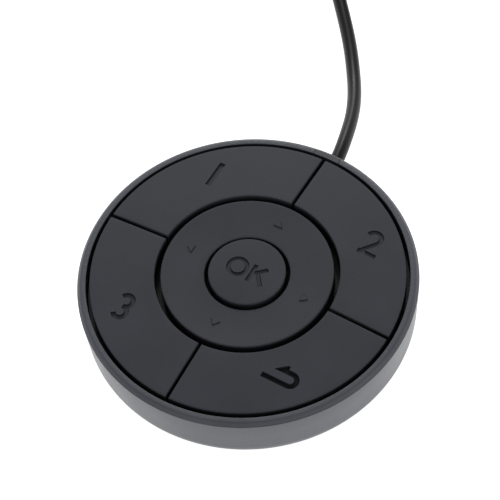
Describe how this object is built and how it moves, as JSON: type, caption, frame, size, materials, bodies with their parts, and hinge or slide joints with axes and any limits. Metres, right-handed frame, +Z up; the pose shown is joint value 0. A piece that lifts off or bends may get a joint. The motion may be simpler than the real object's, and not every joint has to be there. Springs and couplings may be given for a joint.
{
  "type": "hotkey puck",
  "caption": "Round wired desk controller with quarter keys, a four-way tilting ring, a raised centre button and a cord to a small plug.",
  "frame": {"origin": "on the table under the middle of the puck", "axes": "+Z up, +Y from the middle towards the cord outlet, +X to the right of someone facing the keys with the outlet away"},
  "size_m": [0.088, 0.1938, 0.0182],
  "materials": {
    "case_plastic": "fine satin moulding",
    "key_plastic": "fine matt moulding",
    "outlet_plastic": "fine satin moulding",
    "inner_plastic": "moulded",
    "foot_rubber": "matt",
    "board": "solder mask",
    "chip": "moulded",
    "connector": "moulded",
    "wire": "smooth",
    "silicone": "matt",
    "screw_steel": "bright",
    "cord_jacket": "satin",
    "tie": "woven",
    "plug_plastic": "satin",
    "plug_steel": "satin"
  },
  "bodies": {
    "case": {"base_shell": "case_plastic", "rim_bezel": "case_plastic", "outlet_block": "outlet_plastic", "foot_ring": "foot_rubber", "key_carrier": "inner_plastic", "circuit_board": "board", "controller_chip": "chip", "cord_socket": "connector", "crimp_plug": "connector", "lead_wires": "wire", "keypad_sheet": "silicone", "dome_key_1": "silicone", "dome_key_2": "silicone", "dome_key_3": "silicone", "dome_key_return": "silicone", "dome_up": "silicone", "dome_down": "silicone", "dome_left": "silicone", "dome_right": "silicone", "dome_ok": "silicone", "case_screws": "screw_steel", "cord": "cord_jacket", "cord_coil": "cord_jacket", "cord_tie": "tie", "plug_grip": "plug_plastic", "plug_shell": "plug_steel"},
    "gimbal": {"gimbal_ring": "inner_plastic"},
    "ring": {"tilt_ring": "key_plastic"},
    "ok": {"ok_button": "key_plastic"},
    "key_1": {"key_1": "key_plastic"},
    "key_2": {"key_2": "key_plastic"},
    "key_3": {"key_3": "key_plastic"},
    "key_return": {"key_return": "key_plastic"}
  },
  "joints": [
    {"name": "key_1_press", "type": "slide", "parent": "case", "child": "key_1", "axis": [0, 0, -1], "range_m": [0, 0.0008], "stiffness_N_per_m": 900, "springref_m": -0.0006, "deforming": ["dome_key_1"]},
    {"name": "key_2_press", "type": "slide", "parent": "case", "child": "key_2", "axis": [0, 0, -1], "range_m": [0, 0.0008], "stiffness_N_per_m": 900, "springref_m": -0.0006, "deforming": ["dome_key_2"]},
    {"name": "key_3_press", "type": "slide", "parent": "case", "child": "key_3", "axis": [0, 0, -1], "range_m": [0, 0.0008], "stiffness_N_per_m": 900, "springref_m": -0.0006, "deforming": ["dome_key_3"]},
    {"name": "key_return_press", "type": "slide", "parent": "case", "child": "key_return", "axis": [0, 0, -1], "range_m": [0, 0.0008], "stiffness_N_per_m": 900, "springref_m": -0.0006, "deforming": ["dome_key_return"]},
    {"name": "ok_press", "type": "slide", "parent": "case", "child": "ok", "axis": [0, 0, -1], "range_m": [0, 0.0008], "stiffness_N_per_m": 900, "springref_m": -0.0006, "deforming": ["dome_ok"]},
    {"name": "ring_pitch", "type": "hinge", "parent": "case", "child": "gimbal", "pos_m": [0, 0, 0.01358], "axis": [1, 0, 0], "range_deg": [-2, 2], "stiffness_Nm_per_rad": 0.6, "deforming": ["dome_up", "dome_down"]},
    {"name": "ring_roll", "type": "hinge", "parent": "gimbal", "child": "ring", "pos_m": [0, 0, 0.01358], "axis": [0, 1, 0], "range_deg": [-2, 2], "stiffness_Nm_per_rad": 0.6, "deforming": ["dome_left", "dome_right"]}
  ]
}
